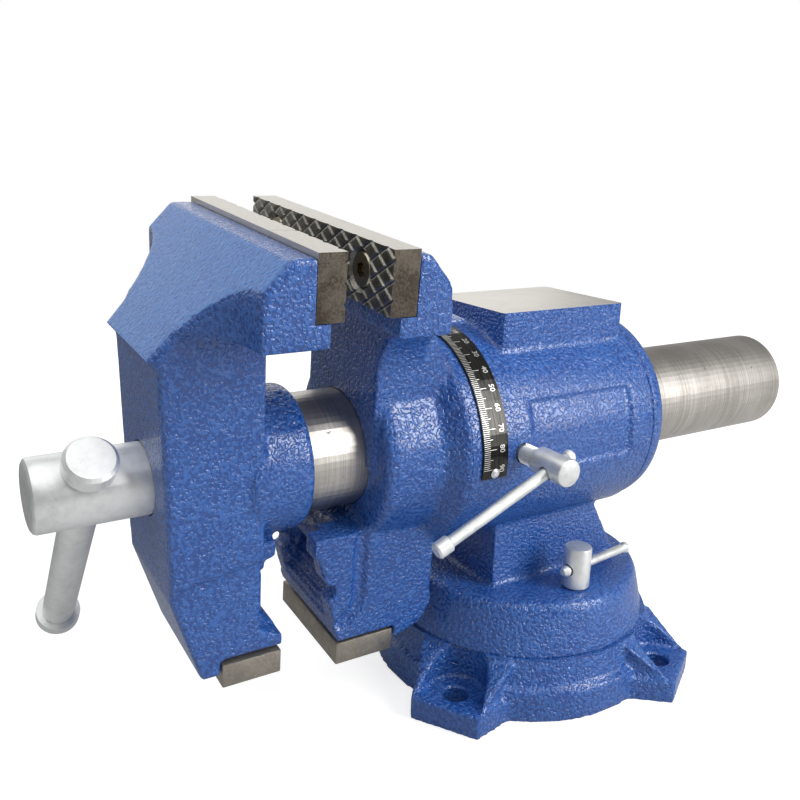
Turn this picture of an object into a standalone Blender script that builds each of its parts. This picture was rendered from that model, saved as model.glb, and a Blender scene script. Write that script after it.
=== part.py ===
"""Rotating multi-jaw bench vise, modelled as separate pieces.

The origin is on the swivel axis at the underside of the base. X runs along the lead
screw, with the T-handle toward -X. The head (both jaws, bar and screw) is rolled a
little in the barrel, so its pieces are modelled upright about the barrel's axis and
hang from an empty that carries the roll.
"""
import math

import bmesh
import bpy
from mathutils import Matrix, Vector

MM = 0.001
GAP = 0.3

# Driving dimensions in millimetres.
AXIS_HEIGHT = 128.6
HEAD_ROLL = 5.1
LUG_ANGLE = 31.5

BASE_HEIGHT = 29.5
BASE_RADIUS = 73.8
LUG_REACH = 90.0
LUG_TOP = 11.6
BOLT_CIRCLE = 77.4
BOLT_HOLE = 6.0
SLOT_RADIUS = 46.6

SWIVEL_BOTTOM = BASE_HEIGHT + GAP
SWIVEL_TOP = 54.0
PEDESTAL_HALF = 28.0

BARREL_RADIUS = 50.0
BARREL_BORE = 40.0
BARREL_FRONT = -69.8
BARREL_REAR = 38.0
ANVIL_TOP = 188.1

SLEEVE_RADIUS = BARREL_BORE - GAP
FLANGE_RADIUS = 50.3
FLANGE_REAR = -70.2
HUB_FRONT = -106.5
COLLAR_REAR = 49.0

BAR_RADIUS = 26.3
BAR_BORE = 19.0
BAR_FRONT = -175.6
BAR_REAR = 167.8

JAW_HALF = 62.5
PLATE_TOP = 100.7
PLATE_BOTTOM = 76.4
PLATE_THICK = 11.0
FRONT_PLATE_FACE = -142.0
REAR_PLATE_FACE = -124.0
PLATE_SCREW_Y = 38.0
COLUMN_HALF = 28.0
BOSS_RADIUS = 31.4
CORE_HALF = 20.0

SCREW_HEAD_RADIUS = 14.8
SCREW_HEAD_FRONT = -238.5
SCREW_HEAD_REAR = -189.4
SCREW_RADIUS = 11.0
SCREW_REAR = 88.0
NUT_X = -35.0
NUT_HALF = 15.0

HANDLE_X = -217.0
HANDLE_ANGLE = -53.1
HANDLE_RADIUS = 7.4
HANDLE_SHORT = -22.5
HANDLE_LONG = 133.0

SCALE_START = -65.0
SCALE_END = -52.0
SCALE_ANGLE = 98.0

BASE_LOCK = (-1.4, -46.6)
BASE_LOCK_TOP = 75.5
BARREL_LOCK_X = -42.3
BARREL_LOCK_Z = 130.2
BARREL_LOCK_END = -79.5

ROUND = 52


def new_collection(name):
    """Make a collection in the scene."""
    collection = bpy.data.collections.new(name)
    bpy.context.scene.collection.children.link(collection)
    return collection


def new_material(name, colour, roughness, metallic):
    """Make a Principled material."""
    material = bpy.data.materials.new(name)
    material.use_nodes = True
    shader = material.node_tree.nodes["Principled BSDF"]
    shader.inputs["Base Color"].default_value = (*colour, 1.0)
    shader.inputs["Roughness"].default_value = roughness
    shader.inputs["Metallic"].default_value = metallic
    return material


def new_empty(name, location, rotation=(0.0, 0.0, 0.0), parent=None):
    """Make an empty on a joint's axis; location in mm, rotation in degrees."""
    empty = bpy.data.objects.new(name, None)
    PARTS.objects.link(empty)
    empty.location = [value * MM for value in location]
    empty.rotation_euler = [math.radians(value) for value in rotation]
    empty.parent = parent
    return empty


def move_to(ob, collection):
    """Put an object in one collection only."""
    for owner in list(ob.users_collection):
        owner.objects.unlink(ob)
    collection.objects.link(ob)


def bake_transform(ob):
    """Move an object's placement and scale into its mesh."""
    ob.data.transform(ob.matrix_basis)
    ob.matrix_basis = Matrix.Identity(4)
    return ob


def block(name, low, high):
    """Box between two corners."""
    bpy.ops.mesh.primitive_cube_add(size=1.0)
    ob = bpy.context.object
    ob.name = name
    ob.location = [(a + b) / 2 * MM for a, b in zip(low, high)]
    ob.scale = [(b - a) * MM for a, b in zip(low, high)]
    return bake_transform(ob)


def rod(name, start, end, radius, segments=ROUND):
    """Round bar between two points."""
    a, b = Vector(start) * MM, Vector(end) * MM
    bpy.ops.mesh.primitive_cylinder_add(vertices=segments, radius=radius * MM,
                                        depth=(b - a).length)
    ob = bpy.context.object
    ob.name = name
    turn = (b - a).to_track_quat("Z", "Y").to_matrix().to_4x4()
    ob.matrix_basis = Matrix.Translation((a + b) / 2) @ turn
    return bake_transform(ob)


def slab(name, outline, plane, low, high):
    """Flat outline drawn in XY, XZ or YZ, with a thickness from low to high."""
    curve = bpy.data.curves.new(name, "CURVE")
    curve.dimensions = "2D"
    curve.fill_mode = "BOTH"
    curve.extrude = (high - low) / 2 * MM
    spline = curve.splines.new("POLY")
    spline.points.add(len(outline) - 1)
    for point, (u, v) in zip(spline.points, outline):
        point.co = (u * MM, v * MM, 0.0, 1.0)
    spline.use_cyclic_u = True
    guide = bpy.data.objects.new(name + "_outline", curve)
    bpy.context.scene.collection.objects.link(guide)
    middle = (low + high) / 2 * MM
    if plane == "XY":
        turn = Matrix.Translation((0, 0, middle))
    elif plane == "XZ":
        turn = Matrix.Translation((0, middle, 0)) @ Matrix.Rotation(math.pi / 2, 4, "X")
    else:
        axes = Matrix(((0, 0, 1, 0), (1, 0, 0, 0), (0, 1, 0, 0), (0, 0, 0, 1)))
        turn = Matrix.Translation((middle, 0, 0)) @ axes
    bpy.context.view_layer.update()
    graph = bpy.context.evaluated_depsgraph_get()
    mesh = bpy.data.meshes.new_from_object(guide.evaluated_get(graph))
    bpy.data.objects.remove(guide)
    shape = bmesh.new()
    shape.from_mesh(mesh)
    bmesh.ops.remove_doubles(shape, verts=shape.verts, dist=0.00001)
    bmesh.ops.recalc_face_normals(shape, faces=shape.faces)
    shape.to_mesh(mesh)
    shape.free()
    mesh.transform(turn)
    ob = bpy.data.objects.new(name, mesh)
    bpy.context.scene.collection.objects.link(ob)
    return ob


def runs_backward(profile):
    """True where a turned profile would come out with its faces inside out."""
    if profile[0][0] == 0.0:
        return profile[0][1] < profile[-1][1]
    area = sum(a[0] * b[1] - b[0] * a[1] for a, b in zip(profile, profile[1:] + profile[:1]))
    return area > 0.0


def turned(name, profile, axis, centre=(0.0, 0.0, 0.0), segments=ROUND):
    """Solid of revolution; the profile is (radius, height) pairs, top to bottom."""
    if runs_backward(profile):
        profile = profile[::-1]
    mesh = bpy.data.meshes.new(name)
    shape = bmesh.new()
    ring = [shape.verts.new((r * MM, 0.0, h * MM)) for r, h in profile]
    for first, second in zip(ring, ring[1:]):
        shape.edges.new((first, second))
    if profile[0][0] > 0.0:
        shape.edges.new((ring[-1], ring[0]))
    shape.to_mesh(mesh)
    shape.free()
    ob = bpy.data.objects.new(name, mesh)
    bpy.context.scene.collection.objects.link(ob)
    screw = ob.modifiers.new("Turn", "SCREW")
    screw.steps = segments
    screw.render_steps = segments
    screw.use_merge_vertices = True
    screw.merge_threshold = 0.00001
    bpy.context.view_layer.update()
    graph = bpy.context.evaluated_depsgraph_get()
    ob.data = bpy.data.meshes.new_from_object(ob.evaluated_get(graph))
    ob.modifiers.clear()
    aim = {"X": Matrix(((0, 0, 1, 0), (1, 0, 0, 0), (0, 1, 0, 0), (0, 0, 0, 1))),
           "Y": Matrix(((0, 1, 0, 0), (0, 0, 1, 0), (1, 0, 0, 0), (0, 0, 0, 1))),
           "Z": Matrix.Identity(4)}[axis]
    ob.data.transform(Matrix.Translation(Vector(centre) * MM) @ aim)
    return ob


def combine(target, operation, tools):
    """Add or cut away shapes, one exact Boolean after another."""
    for tool in tools:
        boolean = target.modifiers.new(tool.name, "BOOLEAN")
        boolean.operation = operation
        boolean.solver = "EXACT"
        boolean.object = tool
        bpy.context.view_layer.update()
        graph = bpy.context.evaluated_depsgraph_get()
        target.data = bpy.data.meshes.new_from_object(target.evaluated_get(graph))
        target.modifiers.clear()
        bpy.data.objects.remove(tool)
    return target


def finish(ob, material, parent=None, angle=35.0):
    """File a finished piece: its collection, material, shading and parent."""
    move_to(ob, PARTS)
    ob.data.materials.clear()
    ob.data.materials.append(material)
    ob.data.shade_smooth()
    ob.data.set_sharp_from_angle(angle=math.radians(angle))
    ob.parent = parent
    return ob


def polar(radius, degrees):
    """Point on a circle."""
    angle = math.radians(degrees)
    return radius * math.cos(angle), radius * math.sin(angle)


def arc(radius, start, end, steps, centre=(0.0, 0.0)):
    """Points along an arc, both ends included."""
    points = []
    for i in range(steps + 1):
        x, y = polar(radius, start + (end - start) * i / steps)
        points.append((centre[0] + x, centre[1] + y))
    return points


def zigzag(start, end, teeth, depth):
    """Points of a toothed edge from start to end; teeth stand on its left side."""
    a, b = Vector(start), Vector(end)
    run = (b - a) / teeth
    side = Vector((-run.y, run.x)).normalized() * depth
    points = []
    for i in range(teeth):
        points.append(tuple(a + run * i))
        points.append(tuple(a + run * (i + 0.5) + side))
    points.append(tuple(b))
    return points


# Base group -----------------------------------------------------------------

def make_base_plate():
    """Round base with four bolt lugs and the ring T-slot for the swivel lock."""
    neck, wide = 5.0, 9.0
    bolt_hole, bolt_recess, recess_top = 6.4, 14.0, 11.0
    profile = [
        (bolt_hole, BASE_HEIGHT), (SLOT_RADIUS - neck, BASE_HEIGHT), (SLOT_RADIUS - neck, 22.0),
        (SLOT_RADIUS - wide, 22.0), (SLOT_RADIUS - wide, 12.0), (SLOT_RADIUS + wide, 12.0),
        (SLOT_RADIUS + wide, 22.0), (SLOT_RADIUS + neck, 22.0), (SLOT_RADIUS + neck, BASE_HEIGHT),
        (67.5, BASE_HEIGHT), (70.5, 16.4), (BASE_RADIUS, 14.4), (BASE_RADIUS, 0.0),
        (bolt_recess, 0.0), (bolt_recess, recess_top), (bolt_hole, recess_top),
    ]
    plate = turned("base_plate", profile, "Z", segments=52)
    half_end, half_root, root = 17.1, 25.2, 62.0
    lugs, cuts = [], []
    for i in range(4):
        turn = LUG_ANGLE + 90.0 * i
        outline = [(root, -half_root), (68.6, -half_root), (LUG_REACH, -half_end),
                   (LUG_REACH, half_end), (68.6, half_root), (root, half_root)]
        lug = slab(f"lug_{i}", outline, "XY", 0.0, LUG_TOP)
        lug.data.transform(Matrix.Rotation(math.radians(turn), 4, "Z"))
        lugs.append(lug)
        x, y = polar(BOLT_CIRCLE, turn)
        cuts.append(rod(f"lug_scallop_{i}", (x, y, LUG_TOP), (x, y, 40.0), 14.0, 24))
        cuts.append(rod(f"lug_hole_{i}", (x, y, -5.0), (x, y, 20.0), BOLT_HOLE, 20))
    combine(plate, "UNION", lugs)
    combine(plate, "DIFFERENCE", cuts)
    return finish(plate, BLUE)


def make_pivot():
    """Centre bolt and washer that hold the body down on the base."""
    bolt = turned("pivot_bolt", [(0.0, 46.0), (5.0, 46.0), (6.0, 45.0), (6.0, 8.0), (9.0, 8.0),
                                 (9.0, 0.0), (0.0, 0.0)], "Z", segments=36)
    finish(bolt, STEEL, BODY)
    washer = turned("pivot_washer", [(6.4, 10.7), (12.5, 10.7), (12.5, 8.3), (6.4, 8.3)],
                    "Z", segments=36)
    finish(washer, STEEL, BODY)


def make_base_lock():
    """T-nut, clamp screw and sliding bar of the swivel lock."""
    x, y = BASE_LOCK
    shank, head, bar_z, bar_turn = 4.5, 6.6, 64.3, 7.6
    nut = slab("base_lock_nut", [(x - 8, y - 7), (x + 8, y - 7), (x + 8, y + 7), (x - 8, y + 7)],
               "XY", 13.0, 21.5)
    combine(nut, "DIFFERENCE", [rod("nut_hole", (x, y, 10), (x, y, 25), shank + GAP, 28)])
    finish(nut, STEEL, BODY)
    screw = turned("base_lock_screw", [
        (0.0, BASE_LOCK_TOP), (head - 0.8, BASE_LOCK_TOP), (head, BASE_LOCK_TOP - 0.8),
        (head, SWIVEL_TOP + 1.3), (head - 0.8, SWIVEL_TOP + 0.5), (shank, SWIVEL_TOP + 0.5),
        (shank, 13.5), (0.0, 13.5)], "Z", segments=32)
    axis = new_empty("base_lock_axis", (x, y, bar_z), (0, 0, bar_turn), BODY)
    screw.data.transform(Matrix.Rotation(-math.radians(bar_turn), 4, "Z")
                         @ Matrix.Translation((0, 0, -bar_z * MM)))
    bar = 2.2
    combine(screw, "DIFFERENCE", [rod("base_bar_hole", (-9, 0, 0), (9, 0, 0), bar + GAP, 24)])
    finish(screw, ZINC, axis)
    ends = turned("base_lock_bar", [
        (0.0, 39.5), (1.8, 39.0), (2.9, 37.6), (2.9, 36.0), (bar, 34.6), (bar, -7.0),
        (2.7, -7.4), (2.7, -8.4), (1.6, -10.4), (0.0, -10.6)], "X", segments=24)
    finish(ends, ZINC, axis)


# Body -----------------------------------------------------------------------

def make_vise_body():
    """One casting: swivel disc, pedestal, barrel and anvil."""
    disc = turned("vise_body", [(0.0, SWIVEL_TOP), (58.0, SWIVEL_TOP), (60.2, SWIVEL_TOP - 1.0),
                                (61.6, SWIVEL_TOP - 4.0), (66.2, SWIVEL_BOTTOM),
                                (6.3, SWIVEL_BOTTOM), (6.3, 47.0), (0.0, 47.0)],
                  "Z", segments=60)
    pedestal = slab("pedestal", [(-38, 50), (-38, 104), (24, 104), (24, 88), (43, 55), (43, 50)],
                    "XZ", -PEDESTAL_HALF, PEDESTAL_HALF)
    barrel = rod("barrel", (BARREL_FRONT, 0, AXIS_HEIGHT), (BARREL_REAR, 0, AXIS_HEIGHT),
                 BARREL_RADIUS, 76)
    anvil = block("anvil", (-40.4, -28.15, 160.0), (31.6, 28.15, ANVIL_TOP))
    combine(disc, "UNION", [pedestal, barrel, anvil])
    x, y = BASE_LOCK
    lock_hole = turned("barrel_lock_hole", [(0, -36), (5.3, -36), (5.3, -45), (4.3, -45),
                                            (4.3, -56), (0, -56)],
                       "Y", (BARREL_LOCK_X, 0, BARREL_LOCK_Z), 26)
    combine(disc, "DIFFERENCE", [
        rod("barrel_bore", (-90, 0, AXIS_HEIGHT), (60, 0, AXIS_HEIGHT), BARREL_BORE, 60),
        rod("base_lock_hole", (x, y, 20), (x, y, 60), 4.5 + GAP, 26), lock_hole])
    finish(disc, BLUE, BODY)


def make_scale():
    """Curved angle scale on the barrel with a rivet at each end."""
    inner = BARREL_RADIUS + 0.35
    outer = inner + 0.8
    top, span = 90.0, SCALE_ANGLE
    outline = arc(outer, top - span, top + span, 36) + arc(inner, top + span, top - span, 36)
    centred = [(y, z + AXIS_HEIGHT) for y, z in outline]
    plate = slab("scale_plate", centred, "YZ", SCALE_START, SCALE_END)
    middle = (SCALE_START + SCALE_END) / 2
    for name, side in (("scale_rivet_near", -1), ("scale_rivet_far", 1)):
        y, z = polar(1.0, 90.0 - side * (span - 2.6))
        centre = Vector((middle, 0, AXIS_HEIGHT))
        out = Vector((0, y, z))
        hole = rod(name + "_hole", centre + out * 46, centre + out * 55, 1.5, 16)
        combine(plate, "DIFFERENCE", [hole])
        rivet = turned(name, [(0, outer + 1.2), (1.1, outer + 1.1), (2.2, outer + GAP),
                              (1.2, outer + GAP), (1.2, inner + 0.1), (0, inner + 0.1)],
                       "Z", segments=20)
        lean = out.to_track_quat("Z", "Y").to_matrix().to_4x4()
        rivet.data.transform(Matrix.Translation(centre * MM) @ lean)
        finish(rivet, ZINC, BODY)
    finish(plate, SCALE, BODY)


def make_barrel_lock():
    """Clamp screw, its sliding bar and the shoe that presses on the sleeve."""
    x, z = BARREL_LOCK_X, BARREL_LOCK_Z
    head, shank, bar, bar_y, bar_turn = 6.1, 4.0, 2.5, -70.0, -23.7
    axis = new_empty("barrel_lock_axis", (x, bar_y, z), (0, bar_turn, 0), BODY)
    front, back, tip = BARREL_LOCK_END - bar_y, 9.8, 28.4
    screw = turned("barrel_lock_screw", [(0, tip), (shank, tip), (shank, back), (head - 0.6, back),
                                         (head, back - 0.6), (head, front + 0.8),
                                         (head - 0.8, front), (0, front)], "Y", segments=36)
    combine(screw, "DIFFERENCE", [rod("lock_bar_hole", (-9, 0, 0), (9, 0, 0), bar + GAP, 24)])
    finish(screw, ZINC, axis)
    long_end, short_end = -64.0, 7.9
    stick = turned("barrel_lock_bar", [
        (0.0, short_end + 2.5), (2.0, short_end + 2.5), (3.0, short_end + 1.5), (3.0, short_end - 0.5),
        (bar, short_end - 1.5), (bar, long_end + 7.5), (3.6, long_end + 6.5),
        (3.6, long_end + 0.8), (2.8, long_end), (0.0, long_end)], "X", segments=24)
    finish(stick, ZINC, axis)
    shoe = rod("barrel_lock_shoe", (x, -40.1, z), (x, -41.3, z), 4.9, 28)
    finish(shoe, BRASS, BODY)


# Head -----------------------------------------------------------------------

def make_rear_jaw():
    """Rear jaw casting: upper jaw, hub, flange, sleeve and the lower pipe jaw."""
    seat_x = REAR_PLATE_FACE + PLATE_THICK + GAP
    seat_z = PLATE_BOTTOM - GAP
    upper = slab("rear_jaw", [
        (seat_x, PLATE_TOP - 1.6), (-108.2, 98.4), (-99.2, 88.5), (-97.5, 84.6), (-96.3, 68.0),
        (-119.4, 68.0), (-119.4, seat_z), (seat_x, seat_z)], "XZ", -JAW_HALF, JAW_HALF)
    web_half = 30.5
    web = slab("rear_web", [
        (-104, 91), (-99, 86), (-79, 55), (-76, 40), (-76, 0), (-108, 0), (-108, 72), (-104, 72)],
        "XZ", -web_half, web_half)
    gusset = slab("rear_gusset", [
        (-54, 70), (54, 70), (40, 57), (web_half - 1, 40), (-web_half + 1, 40), (-40, 57)],
        "YZ", -108.0, -88.0)
    hub = rod("rear_hub", (HUB_FRONT, 0, 0), (-77, 0, 0), 42.0)
    flange = turned("rear_flange", [
        (0.0, FLANGE_REAR), (FLANGE_RADIUS, FLANGE_REAR), (FLANGE_RADIUS, FLANGE_REAR - 1.4),
        (42.8, FLANGE_REAR - 8.8), (0.0, FLANGE_REAR - 8.8)], "X", segments=72)
    sleeve = rod("rear_sleeve", (-74, 0, 0), (COLLAR_REAR - 0.6, 0, 0), SLEEVE_RADIUS, 60)
    neck = rod("sleeve_neck", (BARREL_REAR, 0, 0), (60, 0, 0), 60.0)
    combine(neck, "DIFFERENCE", [rod("neck_core", (30, 0, 0), (70, 0, 0), 34.0)])
    lower = slab("rear_lower", [
        (-105, -20), (-72.5, -20), (-71.0, -75), (-76, -83), (-89.6, -88), (-89.6, -82.7),
        (-119.2, -82.7), (-120.5, -75), (-129, -40), (-132, -36), (-132, -28), (-105, -28)],
        "XZ", -30.0, 30.0)
    notch = [(-140, -24), (-126.3, -24)]
    notch += zigzag((-126.5, -32), (-112.5, -51), 4, -2.4)
    notch += zigzag((-112.5, -54), (-121.0, -76), 5, -2.4)
    notch += [(-119.8, -90), (-140, -90)]
    combine(upper, "UNION", [web, gusset, hub, flange, sleeve, lower])
    tools = [neck, slab("rear_notch", notch, "XZ", -20.4, 20.4),
             rod("boss_clearance", (-140, 0, 0), (-115.3, 0, 0), BOSS_RADIUS + 0.6, 60),
             rod("rear_bore", (-150, 0, 0), (80, 0, 0), BAR_RADIUS + GAP, 60),
             rod("key_hole", (NUT_X, 0, -20), (NUT_X, 0, -45), 6.3, 28),
             rod("collar_thread", (43.5, 20, 0), (43.5, 45, 0), 2.6, 20),
             rod("rear_insert_tap", (-104.5, 0, -95), (-104.5, 0, -67), 3.3, 20)]
    for side in (-1, 1):
        y = side * PLATE_SCREW_Y
        z = (PLATE_TOP + PLATE_BOTTOM) / 2
        tools.append(rod(f"rear_tap_{side}", (seat_x - 5, y, z), (seat_x + 8, y, z), 4.3, 24))
    combine(upper, "DIFFERENCE", tools)
    finish(upper, BLUE, HEAD)


def make_collar():
    """Ring on the sleeve's rear end, with its grub screw."""
    front = BARREL_REAR + 0.4
    collar = turned("rear_collar", [
        (34.4, COLLAR_REAR), (43.0, COLLAR_REAR), (46.5, COLLAR_REAR - 1.2),
        (48.6, COLLAR_REAR - 4.5), (49.0, COLLAR_REAR - 7.0), (49.0, front), (34.4, front)],
        "X", segments=60)
    combine(collar, "DIFFERENCE", [rod("grub_hole", (43.5, 30, 0), (43.5, 55, 0), 2.6, 20)])
    finish(collar, BLUE, HEAD)
    finish(rod("collar_screw", (43.5, 30.5, 0), (43.5, 46.5, 0), 2.3, 20), STEEL, HEAD)


def make_jaw_plate(name, face, inward, parent):
    """Hardened plate with two countersunk holes, and its two screws."""
    back = face + inward * PLATE_THICK
    low, high = sorted((face, back))
    plate = block(name + "_jaw_plate", (low, -JAW_HALF, PLATE_BOTTOM), (high, JAW_HALF, PLATE_TOP))
    z = (PLATE_TOP + PLATE_BOTTOM) / 2
    for i, side in enumerate((-1, 1), 1):
        y = side * PLATE_SCREW_Y
        sink = [(0, -1.0), (8.6, -1.0), (4.3, 4.7), (4.3, 14.0), (0, 14.0)]
        body = [(0, 0.8), (6.9, 0.8), (4.0, 4.4), (4.0, 18.6), (0, 18.6)]
        cutter, screw = (
            turned(label, [(r, face + inward * depth) for r, depth in profile], "X", (0, y, z), 30)
            for label, profile in ((f"{name}_sink_{i}", sink), (f"{name}_plate_screw_{i}", body)))
        combine(plate, "DIFFERENCE", [cutter])
        finish(screw, STEEL, parent)
    finish(plate, PLATE, parent)


def make_insert(name, low_x, high_x, half, top, parent):
    """Flat steel insert under the pipe jaw, held by one screw from below."""
    insert = block(name + "_pipe_insert", (low_x, -half, top - 11.3), (high_x, half, top))
    x = (low_x + high_x) / 2
    hole = [(0, 8), (3.3, 8), (3.3, -6.1), (5.8, -6.1), (5.8, -17), (0, -17)]
    combine(insert, "DIFFERENCE", [turned(name + "_insert_hole", hole, "Z", (x, 0, top), 28)])
    finish(insert, RAW, parent)
    screw = turned(name + "_insert_screw", [(0.0, 14.0), (3.0, 14.0), (3.0, -6.4), (5.4, -6.4),
                                            (5.4, -10.8), (0.0, -10.8)], "Z", (x, 0, top), 28)
    finish(screw, STEEL, parent)


def make_nut():
    """Lead-screw nut inside the bar and the stud that ties it to the sleeve."""
    nut = rod("screw_nut", (NUT_X - NUT_HALF, 0, 0), (NUT_X + NUT_HALF, 0, 0), BAR_BORE - 0.6, 36)
    combine(nut, "DIFFERENCE", [
        rod("nut_thread", (NUT_X - 20, 0, 0), (NUT_X + 20, 0, 0), SCREW_RADIUS + 0.4, 40),
        rod("nut_key_hole", (NUT_X, 0, -13.4), (NUT_X, 0, -24), 6.3, 28)])
    finish(nut, BRASS, HEAD)
    finish(rod("nut_key", (NUT_X, 0, -13.8), (NUT_X, 0, -39.2), 6.0, 28), STEEL, HEAD)


# Sliding jaw ----------------------------------------------------------------

def make_front_jaw():
    """Sliding jaw casting: flared upper jaw, column, bar boss and pipe jaw."""
    seat_x = FRONT_PLATE_FACE - PLATE_THICK - GAP
    seat_z = PLATE_BOTTOM - GAP
    nose = (-200.0, 56.9)
    upper = slab("front_jaw", [
        (-190.8, 67.0), (-162.3, 98.2), (seat_x - 0.3, 98.2), (seat_x, seat_z), (-146.6, seat_z),
        (-146.6, 67.2), (-188, 67.2)], "XZ", -JAW_HALF, JAW_HALF)
    flares = []
    for side in (-1, 1):
        flare = rod(f"flare_{side}", (0, 0, 40), (0, 0, 110), 1.0, 64)
        flare.data.transform(Matrix.Diagonal((28.0, 34.0, 1.0, 1.0)))
        flare.data.transform(Matrix.Translation((nose[0] * MM, side * JAW_HALF * MM, 0)))
        flares.append(flare)
    combine(upper, "DIFFERENCE", flares)
    column = slab("front_column", [
        nose, (-190.8, 67.0), (-164, 96), (-156, 96), (-155, -66), (-145, -71), (-145, -77.7),
        (-172.3, -77.7), (-172.3, -83.1), (-180.5, -83.1), (-193, -43.6), (-196.2, 53.5)],
        "XZ", -COLUMN_HALF, COLUMN_HALF)
    boss = rod("front_boss", (-160, 0, 0), (-133.6, 0, 0), BOSS_RADIUS)
    teeth = [(-160, -29), (-145.5, -29), (-145.5, -36)]
    teeth += zigzag((-147, -37), (-157, -51), 3, -2.4)
    teeth += zigzag((-157, -54), (-147, -68), 3, -2.4)
    teeth += [(-145, -71.5), (-160, -71.5)]
    vee = slab("front_vee", teeth, "XZ", -CORE_HALF, CORE_HALF)
    combine(upper, "UNION", [column, boss, vee])
    tools = [
        rod("front_socket", (BAR_FRONT - 0.4, 0, 0), (-120, 0, 0), BAR_RADIUS + GAP, 60),
        rod("front_screw_hole", (-210, 0, 0), (-160, 0, 0), SCREW_RADIUS + 0.4, 40),
        rod("front_counterbore", (-210, 0, 0), (SCREW_HEAD_REAR + 0.4, 0, 0), 15.4, 48),
        rod("bar_pin_hole", (-145, 20, 0), (-145, 40, 0), 3.3, 24),
        rod("front_insert_tap", (-158.75, 0, -90), (-158.75, 0, -62), 3.3, 20)]
    for side in (-1, 1):
        y = side * PLATE_SCREW_Y
        z = (PLATE_TOP + PLATE_BOTTOM) / 2
        tools.append(rod(f"front_tap_{side}", (seat_x + 5, y, z), (seat_x - 8, y, z), 4.3, 24))
    combine(upper, "DIFFERENCE", tools)
    finish(upper, BLUE, HEAD)


def make_slide_bar():
    """Thick steel tube with a slot underneath for the nut's stud."""
    bar = turned("slide_bar", [
        (BAR_BORE, BAR_REAR), (BAR_RADIUS - 1.5, BAR_REAR), (BAR_RADIUS, BAR_REAR - 1.5),
        (BAR_RADIUS, BAR_FRONT), (BAR_BORE, BAR_FRONT)], "X", segments=60)
    combine(bar, "DIFFERENCE", [
        block("bar_slot", (-62, -7, -35), (80, 7, -10)),
        rod("bar_pin_seat", (-145, 10, 0), (-145, 40, 0), 3.3, 24)])
    finish(bar, TURNED, HEAD)
    finish(rod("bar_pin", (-145, 19.6, 0), (-145, 31.0, 0), 3.0, 24), STEEL, HEAD)


# Spindle and handle ----------------------------------------------------------

def make_lead_screw():
    """Lead screw with its cross-bored head, and the collar that pulls the jaw back."""
    screw = turned("lead_screw", [
        (0.0, SCREW_REAR), (9.5, SCREW_REAR), (SCREW_RADIUS, SCREW_REAR - 1.5),
        (SCREW_RADIUS, SCREW_HEAD_REAR), (SCREW_HEAD_RADIUS, SCREW_HEAD_REAR),
        (SCREW_HEAD_RADIUS, SCREW_HEAD_FRONT + 1.8), (SCREW_HEAD_RADIUS - 1.8, SCREW_HEAD_FRONT),
        (0.0, SCREW_HEAD_FRONT)], "X", segments=40)
    reach = SCREW_HEAD_RADIUS + 5
    along = Vector((0, *polar(1.0, HANDLE_ANGLE)))
    middle = Vector((HANDLE_X, 0, 0))
    pin_x = -171.5
    combine(screw, "DIFFERENCE", [
        rod("handle_hole", middle - along * reach, middle + along * reach,
            HANDLE_RADIUS + GAP, 40),
        rod("retainer_hole", (pin_x, 0, -20), (pin_x, 0, 20), 2.1, 20)])
    finish(screw, ZINC, HEAD)
    collar = turned("screw_retainer", [(SCREW_RADIUS + GAP, -168.0), (17.5, -168.0),
                                       (17.5, -175.5), (SCREW_RADIUS + GAP, -175.5)],
                    "X", segments=32)
    combine(collar, "DIFFERENCE", [rod("collar_cross", (pin_x, 0, -20), (pin_x, 0, 20), 2.1, 20)])
    finish(collar, STEEL, HEAD)
    finish(rod("retainer_pin", (pin_x, 0, -17), (pin_x, 0, 17), 1.8, 20), STEEL, HEAD)


def make_handle():
    """Sliding T-handle: a rod with a knob pressed on each end."""
    axis = new_empty("handle_axis", (HANDLE_X, 0, 0), (HANDLE_ANGLE, 0, 0), HEAD)
    knob, length, neck = 10.2, 7.4, 5.5
    shoulder = length + GAP
    stick = turned("handle_rod", [
        (0, HANDLE_LONG - 2), (neck, HANDLE_LONG - 2), (neck, HANDLE_LONG - shoulder),
        (HANDLE_RADIUS, HANDLE_LONG - shoulder), (HANDLE_RADIUS, HANDLE_SHORT + shoulder),
        (neck, HANDLE_SHORT + shoulder), (neck, HANDLE_SHORT + 2), (0, HANDLE_SHORT + 2)],
        "Y", segments=32)
    finish(stick, ZINC, axis)
    steps = [(0, 0), (knob - 1.4, 0), (knob, 1.3), (knob, length), (neck + GAP, length),
             (neck + GAP, 1.7), (0, 1.7)]
    for name, end, inward in (("handle_knob_near", HANDLE_SHORT, 1),
                              ("handle_knob_far", HANDLE_LONG, -1)):
        cap = turned(name, [(r, end + inward * depth) for r, depth in steps], "Y", segments=32)
        finish(cap, ZINC, axis)


for old in list(bpy.data.objects):
    bpy.data.objects.remove(old)

PARTS = new_collection("bench_vise")
BLUE = new_material("blue_enamel", (0.03, 0.12, 0.45), 0.35, 0.1)
STEEL = new_material("plain_steel", (0.45, 0.44, 0.42), 0.4, 1.0)
ZINC = new_material("zinc_plate", (0.68, 0.69, 0.68), 0.3, 1.0)
PLATE = new_material("jaw_plate_steel", (0.5, 0.47, 0.42), 0.35, 1.0)
RAW = new_material("raw_steel", (0.36, 0.33, 0.3), 0.5, 1.0)
TURNED = new_material("turned_steel", (0.58, 0.55, 0.52), 0.3, 1.0)
SCALE = new_material("scale_black", (0.05, 0.05, 0.055), 0.35, 0.8)
BRASS = new_material("brass", (0.62, 0.48, 0.22), 0.35, 1.0)

BODY = new_empty("base_swivel_axis", (0, 0, 0))
HEAD = new_empty("head_roll_axis", (0, 0, AXIS_HEIGHT), (HEAD_ROLL, 0, 0), BODY)

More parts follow.
